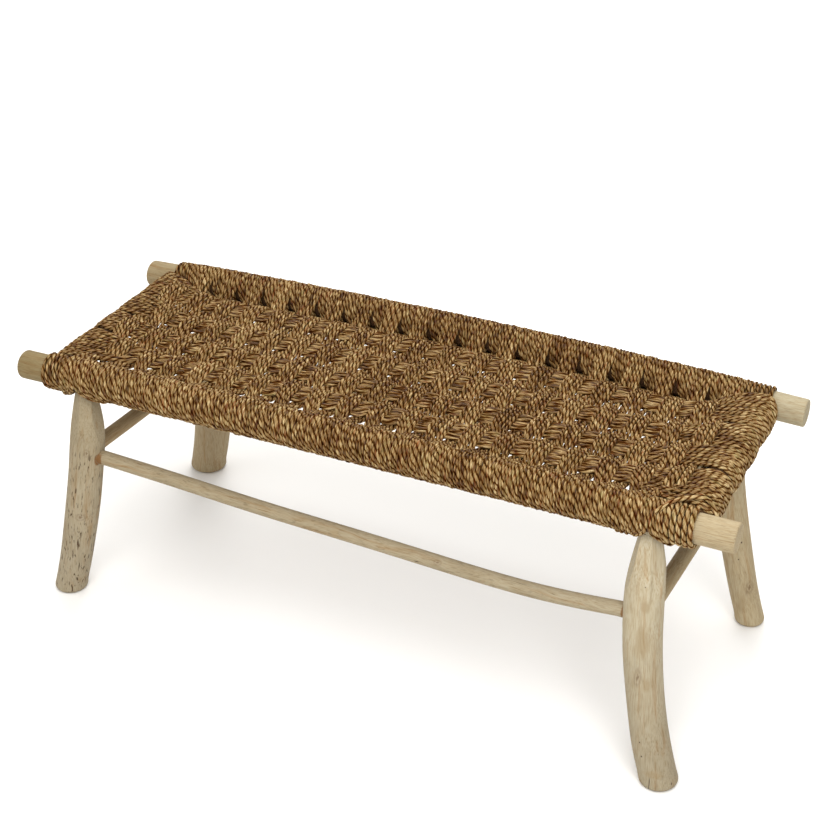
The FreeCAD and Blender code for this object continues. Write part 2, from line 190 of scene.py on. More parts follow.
class MarkKind(Enum):
    """A kind of dark mark: its colour, its strength from the middle out, its share and its dent."""

    KNOT = ("#6a5138", RINGS, 0.9, -1.0)
    PATCH = ("#94805f", PLAIN, 0.55, 0.0)
    RUST = ("#6f4208", FIRM, 0.8, 0.0)
    HOLE = ("#46331f", PLAIN, 0.9, -3.0)


KNOT, PATCH, RUST, HOLE = MarkKind


@dataclass(frozen=True)
class Mark:
    """A knot, patch, rust stain or insect hole: what it is, its place and its half sizes."""

    kind: MarkKind
    place: Triple
    size: Triple


@dataclass(frozen=True)
class WeatheredTeak:
    """Debarked teak branch, dried and bleached: pale tan wood with fine dark lines along the grain.

    The name is the branch's node. Its shade and tone tint it from one end of the span to the other, on the
    axis; on the legs, the lower end's tint is painted shade. The specks reach up to their top. Wood nearer
    the bench's middle than covered lies under rope and is painted in shade.
    """

    name: str
    grain: Triple
    # Tints at the span's two ends: on the legs, a darker lower end is painted shade.
    shade_and_tone: tuple[str, str] = ("#d8d4cc", "#ecebe7")
    span: Pair = (80.0, 380.0)
    axis: str = "Z"
    pale: str = "#d6ccb6"
    warm: str = "#c9b393"
    grey: str = "#bfb49d"
    dark: str = "#5e492f"
    # Painted shade for the wood under the rope.
    unbleached: str = "#4a3018"
    speck_share: float = 0.2
    speck_top: float = 600.0
    marks: tuple[Mark, ...] = ()
    covered: float = 0.0
    covered_edge: float = 8.0
    # Teak's pores are finer than this. They are drawn as coarse as they need to be to show.
    fibre_width: float = 0.9
    streak_width: float = 7.0
    relief: float = 0.4

    def material(self) -> bpy.types.Material:
        """Builds the wood's material, with its grain along the branch.

        Returns:
            The finished material.
        """
        made = new_material("weathered_teak_" + self.name)
        node = partial(add_node, made.node_tree)
        coords = node("TexCoord").outputs["Object"]
        turn = Vector(self.grain).rotation_difference(Vector((0, 0, 1))).to_euler()
        own = node("Mapping", {"Vector": coords, "Rotation": (turn.x, turn.y, turn.z)})
        # The grain sways a little, as it does in a grown branch.
        sway = node("TexNoise", {"Vector": own, "Scale": 14.0, "Detail": 1.0}).outputs["Color"]
        bent = node("VectorMath", {0: sway, 1: (0.012, 0.012, 0.0), 2: own}, operation="MULTIPLY_ADD")
        fine, wide = 1 / (self.fibre_width * MM), 1 / (self.streak_width * MM)
        # Every layer's noise is drawn out along the grain.
        layers = {}
        for layer, scale, detail in (
            ("fibre", (fine, fine, fine / 26), 3.0),
            ("streak", (wide, wide, wide / 24), 3.0),
            ("speck", (fine / 3.6, fine / 3.6, fine / 17), 2.0),
            ("patch", (wide / 7, wide / 7, wide / 16), 3.0),
            ("check", (wide / 1.4, wide / 1.4, wide / 34), 2.0),
        ):
            grid = node("Mapping", {"Vector": bent, "Scale": scale})
            layers[layer] = node("TexNoise", {"Vector": grid, "Scale": 1.0, "Detail": detail})
        fibre, patch = layers["fibre"], layers["patch"]
        stops = ((0.3, self.warm), (0.46, self.pale), (0.62, self.pale), (0.78, self.grey))
        colour = node("ValToRGB", {"Fac": layers["streak"]}, stops).outputs["Color"]
        lines = node("ValToRGB", {"Fac": fibre}, ((0.3, "#d8cbb6"), (0.5, "#f6f2ea"), (0.7, "#ffffff")))
        blotch = node("MapRange", {"Value": patch, "From Min": 0.45, "From Max": 0.7, "To Max": 0.6})
        # The specks stand in groups, where side twigs died back.
        place = node("SeparateXYZ", {0: coords}).outputs
        top = self.speck_top * MM
        values = {"From Min": top * 0.8, "From Max": top, "To Min": self.speck_share, "To Max": 0.0}
        low = node("MapRange", {"Value": place["Z"], **values})
        group = node("MapRange", {"Value": patch, "From Min": 0.34, "From Max": 0.5, "To Min": 0.35})
        low = node("Math", {0: low, 1: group}, operation="MULTIPLY")
        speck = node("MapRange", {"Value": layers["speck"], "From Min": 0.58, "From Max": 0.68, "To Max": low})
        # Drying checks: hair-fine cracks along the grain, where a slow noise passes its middle.
        gap = node("Math", {0: layers["check"], 1: 0.5}, operation="SUBTRACT")
        near = node("Math", {0: gap}, operation="ABSOLUTE")
        crack = node("MapRange", {"Value": near, "From Max": 0.012, "To Min": 0.45, "To Max": 0.0})
        crack = node("Math", {0: crack, 1: blotch}, operation="MULTIPLY")
        height = node("Math", {0: crack, 1: -1.2, 2: fibre}, operation="MULTIPLY_ADD")
        # Each branch is tinted from one end of its span to the other. On the legs the lower end's tint is
        # painted shade, strongest on the front right leg; on the rails the tone darkens towards the left end.
        first, last = self.span
        along = node("MapRange", {"Value": place[self.axis], "From Min": first * MM, "From Max": last * MM})
        low_shade_and_tone, high_shade_and_tone = map(linear, self.shade_and_tone)
        shade_and_tone_mix = node("Mix", {0: along, 6: low_shade_and_tone, 7: high_shade_and_tone}, data_type="RGBA").outputs[2]
        coats: list[tuple[Any, Any, str]] = [
            (blotch, linear(self.grey), "MIX"),
            (1.0, lines, "MULTIPLY"),
            (speck, linear(self.dark), "MIX"),
            (crack, linear(self.dark), "MIX"),
            (1.0, shade_and_tone_mix, "MULTIPLY"),
        ]
        if self.covered:
            # Painted shade: the wood under the rope is darkened, as little light reaches it between the ropes.
            away = node("Math", {0: place["X"]}, operation="ABSOLUTE")
            first, last = (self.covered - self.covered_edge) * MM, self.covered * MM
            values = {"From Min": first, "From Max": last, "To Min": 1.0, "To Max": 0.0}
            coats.append((node("MapRange", {"Value": away, **values}), linear(self.unbleached), "MIX"))
        for share, coat, blend in coats:
            values = {0: share, 6: colour, 7: coat}
            colour = node("Mix", values, data_type="RGBA", blend_type=blend).outputs[2]
        for mark in self.marks:
            colour, height = self.draw_mark(node, coords, mark, colour, height)
        rough = node("MapRange", {"Value": fibre, "To Min": 0.9, "To Max": 0.7})
        bump = node("Bump", {"Height": height, "Distance": self.relief * MM})
        values = {"Base Color": colour, "Roughness": rough, "Normal": bump, "Specular IOR Level": 0.3}
        node("OutputMaterial", {"Surface": node("BsdfPrincipled", values)})
        return made

    def draw_mark(
        self,
        node: Callable[..., bpy.types.Node],
        coords: Socket,
        mark: Mark,
        colour: Socket,
        height: bpy.types.Node,
    ) -> tuple[Socket, bpy.types.Node]:
        """Draws one mark over the wood.

        Args:
            node: adds a node to the material's tree.
            coords: output of the object coordinates.
            mark: the mark.
            colour: output of the colour so far.
            height: node of the relief so far.

        Returns:
            The new colour's output and the new relief's node.
        """
        ink, stops, strength, dent = mark.kind.value
        place = tuple(value * MM for value in mark.place)
        scale = tuple(1 / (value * MM) for value in mark.size)
        offset = node("VectorMath", {0: coords, 1: place}, operation="SUBTRACT")
        scaled = node("VectorMath", {0: offset, 1: scale}, operation="MULTIPLY")
        # A noise makes the mark's edge uneven, and its mean is taken off again.
        noise = node("TexNoise", {"Vector": scaled, "Scale": 1.5, "Detail": 2.0}).outputs["Color"]
        wavy = node("VectorMath", {0: noise, 1: (0.7, 0.7, 0.7), 2: scaled}, operation="MULTIPLY_ADD")
        centred = node("VectorMath", {0: wavy, 1: (0.35, 0.35, 0.35)}, operation="SUBTRACT")
        reach = node("VectorMath", {0: centred}, operation="LENGTH").outputs["Value"]
        shape = node("ValToRGB", {"Fac": reach}, stops)
        share = node("Math", {0: shape, 1: strength}, operation="MULTIPLY")
        colour = node("Mix", {0: share, 6: colour, 7: linear(ink)}, data_type="RGBA").outputs[2]
        return colour, node("Math", {0: share, 1: dent, 2: height}, operation="MULTIPLY_ADD")


@dataclass(frozen=True)
class LongRail:
    """A long rail: its axis from left to right, its radii, its rise at the middle, and the seat's side."""

    left: Triple
    right: Triple
    left_radius: float
    right_radius: float
    rise: float
    inward: int

    def share(self, x: float) -> float:
        """How far along the rail a place lies."""
        return (x - self.left[0]) / (self.right[0] - self.left[0])

    def radius(self, x: float) -> float:
        """Radius of the wood at a place."""
        return self.left_radius + (self.right_radius - self.left_radius) * self.share(x)

    def point(self, x: float) -> np.ndarray:
        """Point on the axis at a place."""
        share, low, high = self.share(x), np.array(self.left), np.array(self.right)
        return low + (high - low) * share + np.array((0, 0, self.rise * 4 * share * (1 - share)))


@dataclass(frozen=True)
class EndRail:
    """A short rail across one end: its side, its ends' places, its radius, and its rope's bulge."""

    side: int
    front_x: float
    rear_x: float
    radius: float
    dome: float


@dataclass
class Strand:
    """One run of rope: its route's control points, its make, and where it passes to another piece.

    Each cut is an axis and a place on it. Slack opens the twist between the cuts, and painted light
    changes the tint before, between and after them: paler on the lit rolls, darker in the seat.
    """

    route: list[Triple]
    across: Triple
    diameter: float
    tint: float
    phase: float
    offset: float
    lay: float
    pieces: tuple[str, ...]
    cuts: tuple[tuple[int, float], ...] = ()
    slack: float = 1.0
    # Painted light: tint shifts before, between and after the cuts, paler on the lit rolls and darker in the
    # seat.
    bleach: Triple = (-0.02, -0.04, 0.04)


def smoothed(values: np.ndarray, window: int) -> np.ndarray:
    """Mean of a row of values over a moving window."""
    return np.convolve(np.pad(values, window // 2, mode="edge"), np.ones(window) / window, mode="valid")


@dataclass
class RopeLoft:
    """Turns strands to twisted two-ply meshes, gathered by piece.

    A ring of points stands at each step along a strand. Its two lobes are the plies, which swell from
    the groove's radius to the full one. Thickness and twist stray from even in waves, each with its
    reach, its length and its share of the strand's phase.
    """

    finish: SeagrassRope
    step: float = 3.0
    section: int = 8
    groove: float = 0.69
    swelling: float = 0.31
    thickness_waves: tuple[Triple, ...] = ((0.05, 17.0, 1.0), (0.04, 7.3, 3.0))
    slip_waves: tuple[Triple, ...] = ((3.0, 31.0, 5.0), (1.2, 9.7, 7.0))
    firm_end: float = 85.0
    twist_window: int = 17
    tint_window: int = 11
    ply_tint: float = 0.1

    def __post_init__(self) -> None:
        """Makes the material that all the pieces share."""
        self.material = self.finish.material()
        self.parts: dict[str, list[tuple[np.ndarray, ...]]] = {}

    def smooth_lines(self, strands: Sequence[Strand]) -> list[np.ndarray]:
        """Reads the points of each strand's smooth NURBS route.

        Args:
            strands: the strands.

        Returns:
            For each strand, the points along it.
        """
        curve = bpy.data.curves.new("routes", "CURVE")
        curve.dimensions = "3D"
        for strand in strands:
            spline = curve.splines.new("NURBS")
            spline.points.add(len(strand.route) - 1)
            points = np.ones((len(strand.route), 4))
            points[:, :3] = strand.route
            spline.points.foreach_set("co", points.ravel())
            spline.order_u = 3
            spline.use_endpoint_u = True
            spline.resolution_u = 6
        holder = bpy.data.objects.new("routes", curve)
        mesh = bpy.data.meshes.new_from_object(holder)
        points = np.empty(len(mesh.vertices) * 3)
        mesh.vertices.foreach_get("co", points)
        points = points.reshape(-1, 3)
        edges = np.empty(len(mesh.edges) * 2, dtype=np.int64)
        mesh.edges.foreach_get("vertices", edges)
        # A point from which no edge goes on is the last one of its strand.
        joined = np.zeros(len(points), dtype=bool)
        joined[edges.reshape(-1, 2).min(axis=1)] = True
        ends = np.flatnonzero(~joined) + 1
        bpy.data.objects.remove(holder)
        bpy.data.curves.remove(curve)
        bpy.data.meshes.remove(mesh)
        return np.split(points, ends[:-1])

    def add(self, strands: Sequence[Strand]) -> None:
        """Lofts strands and gathers their parts by piece."""
        for strand, points in zip(strands, self.smooth_lines(strands)):
            self.loft(strand, points)

    def loft(self, strand: Strand, points: np.ndarray) -> None:
        """Lofts one strand.

        Args:
            strand: the strand.
            points: the points of its smooth route.
        """
        lengths = np.r_[0, np.cumsum(np.linalg.norm(np.diff(points, axis=0), axis=1))]
        count = max(4, int(round(lengths[-1] / self.step)))
        along = np.linspace(0, lengths[-1], count + 1)
        line = np.stack([np.interp(along, lengths, points[:, axis]) for axis in range(3)], 1)
        heading = np.gradient(line, axis=0)
        heading /= np.linalg.norm(heading, axis=1)[:, None]
        across = np.array(strand.across, dtype=float)
        side = across - (heading @ across)[:, None] * heading
        side /= np.linalg.norm(side, axis=1)[:, None]
        up = np.cross(heading, side)
        corner = np.arange(self.section) * (2 * math.pi / self.section)
        lobe = self.groove + self.swelling * np.abs(np.cos(corner))
        thick, slip = np.ones(count + 1), np.zeros(count + 1)
        for values, waves in ((thick, self.thickness_waves), (slip, self.slip_waves)):
            for reach, length, share in waves:
                values += reach * np.sin(along / length + strand.phase * share)
        # Of the places where the strand passes a cut, the one nearest its middle counts.
        marks = [0]
        for axis, limit in strand.cuts:
            beyond = line[:, axis] > limit
            change = np.flatnonzero(beyond[1:] != beyond[:-1])
            nearest = change[change >= count // 2][0] if marks[1:] else change[change < count // 2][-1]
            marks.append(int(nearest) + 1)
        marks.append(count)
        pace = np.ones(count + 1)
        tint = np.full(count + 1, strand.tint)
        if strand.cuts:
            # The twist has opened in the seat. The tint changes towards the rails as painted light: paler on
            # the lit rolls, darker in the seat.
            margin = int(self.firm_end / self.step)
            pace[marks[1] + margin:marks[-2] - margin] /= strand.slack
            pace = smoothed(pace, self.twist_window)
            for change, first, last in zip(strand.bleach, marks, (*marks[1:-1], count + 1)):
                tint[first:last] += change
            tint = smoothed(tint, self.tint_window)
        wound = np.cumsum(pace) * lengths[-1] / count
        turn = strand.phase - 2 * math.pi * (wound + slip) / strand.lay
        angle = corner[None, :] + turn[:, None]
        reach = strand.diameter / 2 * thick[:, None] * lobe[None, :]
        sideways, upward = reach * np.cos(angle), reach * np.sin(angle)
        rings = line[:, None, :] + sideways[..., None] * side[:, None, :] + upward[..., None] * up[:, None, :]
        travelled = np.broadcast_to((along + strand.offset)[:, None], angle.shape)
        space = np.stack([travelled, sideways, upward], -1)
        tints = tint[:, None] + self.ply_tint * np.sign(np.cos(corner + 0.01))[None, :]
        creases = np.broadcast_to(1 - np.abs(np.cos(corner)), angle.shape)
        for name, first, last in zip(strand.pieces, marks, marks[1:]):
            part = tuple(values[first:last + 1] for values in (rings, space, tints, creases))
            self.parts.setdefault(name, []).append(part)

    def build(self, name: str) -> bpy.types.Object:
        """Makes one piece from its gathered parts.

        Args:
            name: the piece's name.

        Returns:
            The piece's object.
        """
        parts, section = self.parts[name], self.section
        rings, space, tint, crease = (np.concatenate(values) for values in zip(*parts))
        corners, starts, first = [], [], 0
        for part in parts:
            count = len(part[0])
            ring = first + np.arange(count - 1)[:, None] * section
            here = np.arange(section)[None, :]
            following = (here + 1) % section
            after = ring + section
            quads = np.stack([ring + here, ring + following, after + following, after + here], -1)
            last = first + (count - 1) * section
            corners += [quads.reshape(-1), first + np.arange(section)[::-1], last + np.arange(section)]
            starts += [np.full((count - 1) * section, 4), np.full(2, section)]
            first += count * section
        loops = np.concatenate(corners).astype(np.int32)
        sizes = np.concatenate(starts)
        mesh = bpy.data.meshes.new(name)
        mesh.vertices.add(first)
        mesh.vertices.foreach_set("co", (rings * MM).astype(np.float32).ravel())
        mesh.loops.add(len(loops))
        mesh.loops.foreach_set("vertex_index", loops)
        mesh.polygons.add(len(sizes))
        mesh.polygons.foreach_set("loop_start", np.r_[0, np.cumsum(sizes)[:-1]].astype(np.int32))
        mesh.update(calc_edges=True)
        for label, kind, key, values in (
            ("rope_space", "FLOAT_VECTOR", "vector", space * MM),
            ("strand_tint", "FLOAT", "value", tint),
            ("crease", "FLOAT", "value", crease),
        ):
            layer = mesh.attributes.new(label, kind, "POINT")
            layer.data.foreach_set(key, values.astype(np.float32).ravel())
        mesh.materials.append(self.material)
        mesh.shade_smooth()
        piece = bpy.data.objects.new(name, mesh)
        bpy.context.collection.objects.link(piece)
        log.info("%s: %d strands, %d faces", name, len(parts), len(sizes))
        return piece


def around(centre: Pair, across: float, height: float, angle: float) -> Pair:
    """A point round a centre, at an angle from the top."""
    turn = math.radians(angle)
    return centre[0] + across * math.sin(turn), centre[1] + height * math.cos(turn)


@dataclass
class WovenSeat:
    """The woven seat: warp strands from rail to rail, weft strands along, and wraps at the corners."""

    front: LongRail = LongRail((-597, -189, 413), (601, -183, 426), 23.75, 22.0, 2.0, 1)
    rear: LongRail = LongRail((-602, 184, 420), (599, 189, 427), 23.5, 22.0, 13.0, -1)
    left_end: EndRail = EndRail(-1, -532.0, -539.0, 17.5, 1.0)
    right_end: EndRail = EndRail(1, 532.0, 532.0, 22.5, 3.0)
    seed: int = 7
    # The rope's thickness and length of twist, and the shares of them that strands are drawn from.
    rope: float = 6.6
    girths: Pair = (0.98, 1.15)
    lay: float = 24.0
    lays: Pair = (0.82, 1.25)
    weft_lay: float = 21.0
    weft_lays: Pair = (0.85, 1.2)
    weft_slack: float = 2.8
    # Mean and spread of the tints, from 0 at the darkest to 1 at the palest.
    tint: Pair = (0.47, 0.1)
    column_tint: Pair = (0.5, 0.07)
    weft_tint: Pair = (0.36, 0.08)
    # Painted light on the weft: tint shifts on the left roll, in the seat and on the right roll, palest where
    # the light falls on the right.
    weft_bleach: Triple = (0.12, -0.02, 0.32)
    # The warp's columns, and their widths beside, over and under the weft. A crossing's points have
    # their place across the row, their height and their share in a hole of the seam.
    columns: int = 38
    column_strands: int = 5
    crossing_spread: float = 1.08
    column_spread: float = 1.24
    column_pinch: float = 0.82
    column_stagger: float = 1.5
    column_crown: float = 0.3
    warp_level: float = 7.2
    warp_stray: float = 0.5
    crossing: tuple[Triple, ...] = (
        (28.0, 0.1, 0.0), (18.0, 0.8, 0.0), (0.0, 1.1, 0.0), (-18.0, 0.8, 0.4), (-28.0, 0.1, 0.9),
    )
    # The weft's rows from the rear, and their widths over, beside and under the warp. A crossing's
    # points have their place in the column and their height.
    row_places: tuple[float, ...] = (106.3, 33.0, -35.4, -98.3)
    row_strands: tuple[int, ...] = (15, 12, 12, 15)
    row_width: float = 46.5
    row_neck: float = 0.9
    row_pinch: float = 0.84
    row_depth: float = 1.7
    weft_level: float = 0.6
    weft_rise: float = 1.4
    weft_strays: Pair = (0.6, 0.4)
    hollows: Pair = (0.1, 0.35)
    weft_crossing: tuple[Pair, ...] = ((-0.36, 0.9), (0.0, 1.0), (0.36, 0.9))
    # Towards the end rails the rows fan out, and the last lifted columns climb. The fan's edges keep
    # room from a bare and from a wrapped long rail, as shares of the rope.
    fan_edges: Triple = (69.5, -1.0, -66.7)
    fan_gaps: Triple = (4.0, 5.0, 9.0)
    fan_columns: float = 2.2
    fan_outer: float = 1.6
    fan_power: float = 1.5
    fan_turn: float = 40.0
    fan_stray: float = 0.5
    edge_room: Pair = (0.45, 0.9)
    lifted: int = 3
    # Holes along the front seam: the boundary between two columns, and how far the warp parts there.
    seam_gap: float = 7.3
    seam_dip: float = 0.5
    hole_push: float = 2.6
    seam_holes: tuple[Pair, ...] = (
        (1, -4.0), (3, 7.0), (11, 6.0), (13, 7.5), (15, 7.5), (17, 6.5), (19, 8.5),
        (21, 7.5), (33, 5.5), (35, 6.5), (37, -4.0),
    )
    # Turns round the rails, with angles from the top or bottom that the strand passes first.
    wrap_depth: float = 3.9
    turn_step: float = 30.0
    turn_end: float = 280.0
    tuck_turn: float = 6.0
    turn_strays: Pair = (0.6, 0.4)
    hidden_turn_end: float = 322.0
    hidden_pinch: float = 0.55
    hidden_run: Pair = (268.0, 28.0)
    # Where the legs stand under the long rails, the turns make room for them.
    leg_offset: float = 480.0
    leg_room: float = 21.0
    crowd_reach: float = 46.0
    crowd_run: Pair = (0.35, 0.55)
    crowd_lift: float = 0.6
    # Plain turns beyond the end rails, stouter at the front right, where the rope's end ties them.
    wrap_end: float = 545.0
    wrap_girth: float = 1.05
    wrap_angles: Pair = (-62.0, 242.0)
    wrap_points: int = 12
    wrap_tuck: float = 5.0
    stout_girth: float = 1.3
    stout_lay: float = 1.2
    stout_tints: Pair = (0.8, 1.0)
    tie_tint: float = 0.85
    corner_tie: tuple[Triple, ...] = (
        (488, -205, 448), (497, -193, 456), (508, -180, 459), (520, -168, 459),
        (533, -158, 458), (545, -153, 456), (556, -156, 448), (563, -162, 436),
    )

    def __post_init__(self) -> None:
        """Starts the seat's own random draws."""
        self.draw = np.random.default_rng(self.seed)
        self.column_tints = self.draw.normal(*self.column_tint, self.columns)
        self.front_row = len(self.row_places) - 1
        self.holes = dict(self.seam_holes)

    def stray(self, reach: float) -> float:
        """Draws how far something strays to either side."""
        return self.draw.uniform(-reach, reach)

    def tone(self, middle: float, spread: float) -> float:
        """Draws a tint round a middle one."""
        return float(np.clip(middle + self.draw.normal(0, spread), 0.1, 0.9))

    def end_of(self, x: float) -> EndRail:
        """The end rail on a place's side of the bench."""
        return self.left_end if x < 0 else self.right_end

    def end_x(self, end: EndRail, y: float) -> float:
        """Place of an end rail's axis along the bench, for a place across it."""
        front_y, rear_y = self.front.point(end.front_x)[1], self.rear.point(end.rear_x)[1]
        return end.front_x + (end.rear_x - end.front_x) * (y - front_y) / (rear_y - front_y)

    def between_z(self, front_x: float, rear_x: float, y: float) -> float:
        """Height between a point of the front rail and one of the rear rail."""
        front, rear = self.front.point(front_x), self.rear.point(rear_x)
        return front[2] + (rear[2] - front[2]) * (y - front[1]) / (rear[1] - front[1])

    def end_z(self, end: EndRail, y: float) -> float:
        """Height of an end rail's axis, for a place across the bench."""
        return self.between_z(end.front_x, end.rear_x, y)

    def seam(self, share: float, y: float) -> float:
        """A place along the bench, between the two end wraps.

        Args:
            share: share of the way from the left wrap to the right one.
            y: place across the bench.

        Returns:
            The place along the bench.
        """
        left = self.end_x(self.left_end, y) + self.left_end.radius + self.seam_gap
        right = self.end_x(self.right_end, y) - self.right_end.radius - self.seam_gap
        return left + (right - left) * share

    def seat_z(self, x: float, y: float) -> float:
        """Height of the weave's middle, with its climb to the end rails.

        Args:
            x: place along the bench.
            y: place across it.

        Returns:
            The height.
        """
        end = self.end_of(x)
        lifted = self.lifted / self.columns
        start = self.seam(lifted if end.side < 0 else 1 - lifted, y)
        past = (x - start) * end.side
        if past <= 0:
            return self.between_z(x, x, y)
        run = (self.end_x(end, y) - start) * end.side
        climb = math.asin((end.radius + self.wrap_depth) / run)
        level = self.between_z(start, start, y)
        drop = self.end_z(end, y) - level
        return level + past * (math.tan(climb) + drop / run)

    def make(self, **values: Any) -> Strand:
        """Makes a strand with its own tint, twist and girth.

        Args:
            values: the route, the pieces and whatever else isn't drawn at random.

        Returns:
            The strand.
        """
        drawn = {
            "tint": self.tone(*self.tint),
            "diameter": self.rope * self.draw.uniform(*self.girths),
            "phase": self.draw.uniform(0, 2 * math.pi),
            "offset": self.draw.uniform(0, 5000),
            "lay": self.lay * self.draw.uniform(*self.lays),
        }
        return Strand(**drawn | values)

    def turn(
        self, centre: Pair, radius: float, near: Pair, outward: int, hand: int, last: float
    ) -> list[Triple]:
        """Places round a round rail, from where a strand meets it to its tucked end.

        Args:
            centre: the rail's axis, as place across the rail and height.
            radius: radius of the strand's middle round it.
            near: the strand's last point before the rail, in the same way.
            outward: sign of the direction away from the seat.
            hand: 1 where the strand goes over the rail first, -1 where it goes under.
            last: angle at which the strand is tucked in.

        Returns:
            Place across, height and angle of each point.
        """
        run = (centre[0] - near[0]) * outward
        rise = hand * (near[1] - centre[1])
        leave = math.atan2(run, rise) - math.acos(min(0.999, radius / math.hypot(run, rise)))
        step = self.turn_step
        first = -math.degrees(leave) + step / 2
        angles = np.linspace(first, last, int(round((last - first) / step)) + 1)
        # The control points stand off, so that the smooth route between them has the radius.
        stops = [(angle, radius / math.cos(math.radians(step / 2))) for angle in angles]
        stops.append((last + self.tuck_turn, radius - self.rope))
        return [(*around(centre, outward * reach, hand * reach, angle), angle) for angle, reach in stops]

    def crowd(self, rail: LongRail, x: float, z: float, order: int) -> Pair:
        """Moves a point of a wrap aside where a leg stands under its rail.

        Args:
            rail: the rail.
            x: place along the bench.
            z: height.
            order: the strand's number, which says if it rides over its neighbours.

        Returns:
            The new place along the bench, and how much further from the axis the point lies.
        """
        leg = math.copysign(self.leg_offset, x)
        off = x - leg
        if abs(off) > self.crowd_reach:
            return x, 0.0
        depth = (rail.point(x)[2] - z) / (rail.radius(x) + self.wrap_depth)
        start, run = self.crowd_run
        share = min(1.0, max(0.0, (depth - start) / run))
        share = share * share * (3 - 2 * share)
        aside = math.copysign(self.leg_room + abs(off) * (1 - self.leg_room / self.crowd_reach), off)
        lift = self.crowd_lift * self.rope if order % 2 else 0.0
        return leg + off + share * (aside - off), share * lift

    def rail_turn(self, rail: LongRail, share: float, near: Triple, hand: int, order: int) -> list[Triple]:
        """Route of a warp strand round a long rail.

        Args:
            rail: the rail.
            share: the strand's share of the way along the seat.
            near: its last point before the rail.
            hand: 1 where it goes over the rail first, -1 where it goes under.
            order: the strand's number along the seat.

        Returns:
            The route's points, from the seat to the tucked end.
        """
        centre = rail.point(near[0])
        radius = rail.radius(near[0]) + self.wrap_depth + self.stray(self.turn_strays[0])
        middle = (order // self.column_strands + 0.5) / self.columns
        last = self.turn_end if hand > 0 else self.hidden_turn_end
        start, run = self.hidden_run
        points = []
        bend = self.turn(centre[1:], radius, near[1:], -rail.inward, hand, last)
        for across, height, angle in bend:
            passed, pinch = angle, 0.0
            if hand < 0:
                # A column that goes under first draws together again at its hidden end.
                passed = 180 - angle
                pinch = self.hidden_pinch * min(1.0, max(0.0, (angle - start) / run))
            drift = rail.inward * self.rope * (passed - 90) / 360
            kept = share + (middle - share) * pinch
            place = self.seam(kept, across) + drift + self.stray(self.turn_strays[1])
            place, lift = self.crowd(rail, place, height, order)
            lift += pinch * self.rope * 1.1 * (order % 2)
            out = np.array((across, height)) - centre[1:]
            points.append((place, *(centre[1:] + out * (1 + lift / radius))))
        return points

    def warp(self, column: int, member: int) -> Strand:
        """One warp strand, from round the rear rail to round the front rail.

        Args:
            column: the column's number from the left.
            member: the strand's number in its column.

        Returns:
            The strand.
        """
        order = column * self.column_strands + member
        share = (column + (member + 0.5) / self.column_strands) / self.columns
        over_rear = column % 2 == 1
        off = (member - (self.column_strands - 1) / 2) / self.column_strands
        shift = self.stray(self.warp_stray)
        part = 0.0
        for boundary, side in ((column, 1), (column + 1, -1)):
            # At a hole the ropes of two columns part, and the light comes through.
            near = 1 - abs(order + 0.5 - boundary * self.column_strands) / self.column_strands
            part += self.holes.get(boundary, 0.0) * near * side
        points = []
        for row, place in enumerate(self.row_places):
            over = over_rear if row % 2 else not over_rear
            if over:
                hand, width, crown, stagger = 1, self.column_spread, self.column_crown, 0.0
            else:
                hand, width, crown = -1, self.column_pinch, 0.0
                stagger = self.column_stagger * (1 if member % 2 else -1)
            for offset, lift, yielding in self.crossing:
                y = place + offset
                spread = self.crossing_spread + (width - self.crossing_spread) * min(1.0, lift)
                middle = self.seam((column + 0.5) / self.columns, y)
                pitch = self.seam((column + 1) / self.columns, y) - self.seam(column / self.columns, y)
                x = middle + off * pitch * spread + shift + self.stray(self.warp_stray)
                if row == self.front_row:
                    x += part * yielding
                    if offset == self.crossing[-1][0] and not over:
                        lift = self.seam_dip
                level = self.warp_level * lift * (1 - crown * abs(off))
                z = self.seat_z(x, place) + hand * level + stagger + self.stray(self.warp_stray)
                points.append((x, y, z))
        hand = 1 if over_rear else -1
        rear = self.rail_turn(self.rear, share, points[0], hand, order)
        front = self.rail_turn(self.front, share, points[-1], -hand, order)
        _, y, z = (np.array(points[-1]) + np.array(front[0])) / 2
        points.append((self.seam(share, y) + part, y, z))
        ends = ((self.rear, points[0]), (self.front, points[-1]))
        return self.make(
            route=rear[::-1] + points + front,
            across=(1, 0, 0),
            tint=self.tone(self.column_tints[column], self.column_tint[1]),
            pieces=("rear_rail_rope", "warp_%d" % (column // 8 + 1), "front_rail_rope"),
            cuts=tuple((1, float(rail.point(point[0])[1])) for rail, point in ends),
        )

    def weft(self, row: int, member: int) -> Strand:
        """One weft strand, from round the left end rail to round the right one.

        Args:
            row: the row's number from the rear.
            member: the strand's number in its row.

        Returns:
            The strand.
        """
        count, place = self.row_strands[row], self.row_places[row]
        spot = (member + 0.5) / count - 0.5
        rim = 0.0 if member in (0, count - 1) else 1.0
        depth = self.row_depth * rim * (1 if member % 2 else -1)
        # The front row's front strands fan out sooner.
        outer = row == self.front_row and spot > 0.2
        reach = self.fan_columns * (self.fan_outer if outer else 1.0)
        route = []
        for column in range(self.columns):
            if (column % 2 == 1) == (row % 2 == 1):
                # The warp lies over the row and presses it flat.
                pinch, hollow, level = self.row_pinch, self.hollows[1], -self.weft_level
            else:
                pinch, hollow, level = 1.0, self.hollows[0], self.weft_rise
            for half, lift in self.weft_crossing:
                share = (column + 0.5 + half) / self.columns
                width = self.row_width * (self.row_neck if half and pinch == 1.0 else pinch)
                y = place - spot * width + self.stray(self.weft_strays[0])
                if row == self.front_row and half:
